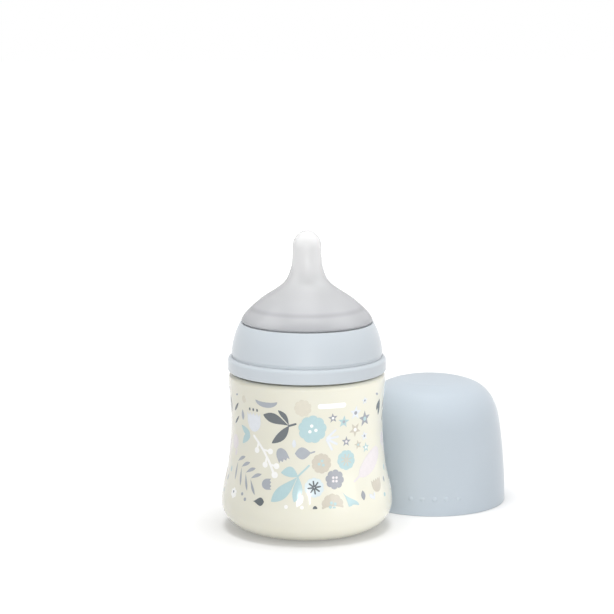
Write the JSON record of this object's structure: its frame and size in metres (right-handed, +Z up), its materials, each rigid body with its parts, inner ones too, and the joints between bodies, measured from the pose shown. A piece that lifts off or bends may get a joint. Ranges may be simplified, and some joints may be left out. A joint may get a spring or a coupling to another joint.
{
  "type": "baby bottle",
  "caption": "Wide-neck baby bottle with a waisted body, a domed silicone teat, a screw collar and a separate domed travel cap standing beside it.",
  "frame": {"origin": "centre of the bottle's flat base", "axes": "+Z up along the axis of the bottle, collar and teat; the cap stands beside them towards +X and +Y, so +X is the object's right seen from the front, and -Y is its front"},
  "size_m": [0.1181, 0.1081, 0.1196],
  "materials": {
    "bottle_plastic": "glossy, slightly translucent, cream",
    "silicone": "frosted translucent silicone",
    "collar_plastic": "satin pale blue",
    "cap_plastic": "satin pale blue with a fine matte texture",
    "print_blue": "screen-printed ink",
    "print_slate": "screen-printed ink",
    "print_grey": "screen-printed ink",
    "print_beige": "screen-printed ink",
    "print_white": "screen-printed ink"
  },
  "bodies": {
    "bottle": {"bottle": "bottle_plastic"},
    "teat": {"teat": "silicone"},
    "collar": {"collar": "collar_plastic"},
    "cap": {"cap": "cap_plastic"}
  },
  "joints": [
    {"name": "teat_rise", "type": "slide", "parent": "bottle", "child": "teat", "axis": [0, 0, 1], "range_m": [0, 0.0089]},
    {"name": "collar_turn", "type": "hinge", "parent": "teat", "child": "collar", "pos_m": [0, 0, 0.0695], "axis": [0, 0, 1], "range_deg": [0, 400]},
    {"name": "cap_lift", "type": "slide", "parent": "bottle", "child": "cap", "axis": [0, 0, 1], "range_m": [0, 0.125]}
  ],
  "couplings": [
    {"joint": "teat_rise", "follows": "collar_turn", "m_per_rad": 0.0012732}
  ]
}
